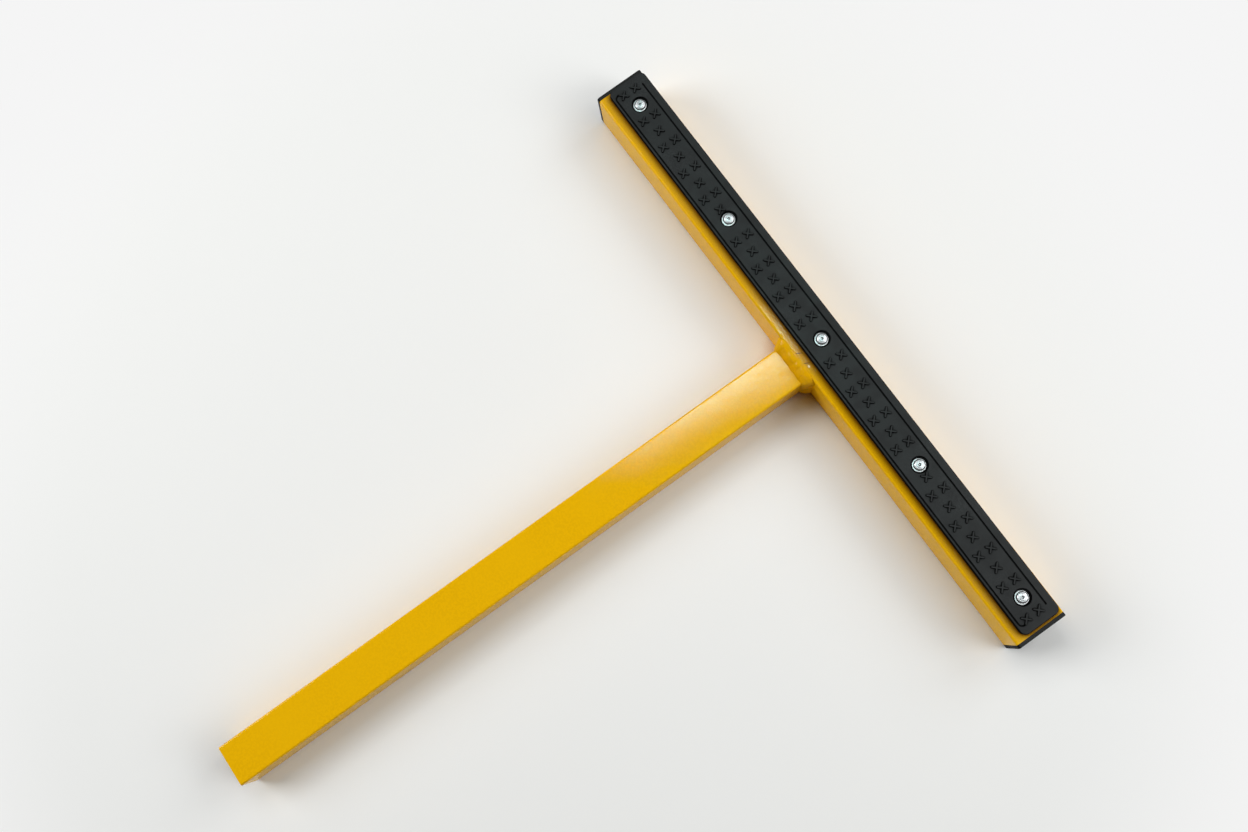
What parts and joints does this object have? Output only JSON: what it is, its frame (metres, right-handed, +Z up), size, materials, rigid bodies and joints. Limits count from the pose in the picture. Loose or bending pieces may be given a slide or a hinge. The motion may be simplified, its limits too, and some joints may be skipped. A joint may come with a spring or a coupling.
{
  "type": "t-bar",
  "caption": "Welded steel T-bar of square tube, painted yellow, with capped ends and a riveted black rubber tread along the cross bar.",
  "frame": {"origin": "under the middle of the cross bar, on the floor that the part lies on", "axes": "+X along the cross bar, the stem points to -Y, +Z up through the tread"},
  "size_m": [0.631, 0.675, 0.0562],
  "materials": {
    "yellow_paint": "glossy yellow powder coat",
    "black_plastic": "matt black moulded plastic",
    "black_rubber": "matt black moulded rubber with raised anti-slip marks",
    "zinc_steel": "bright zinc plated steel"
  },
  "bodies": {
    "root": {"cross_bar": "yellow_paint", "stem": "yellow_paint", "weld_bead": "yellow_paint", "end_cap_left": "black_plastic", "end_cap_right": "black_plastic", "tread_pad": "black_rubber", "rivet_1": "zinc_steel", "rivet_2": "zinc_steel", "rivet_3": "zinc_steel", "rivet_4": "zinc_steel", "rivet_5": "zinc_steel", "washer_1": "zinc_steel", "washer_2": "zinc_steel", "washer_3": "zinc_steel", "washer_4": "zinc_steel", "washer_5": "zinc_steel"}
  },
  "joints": []
}
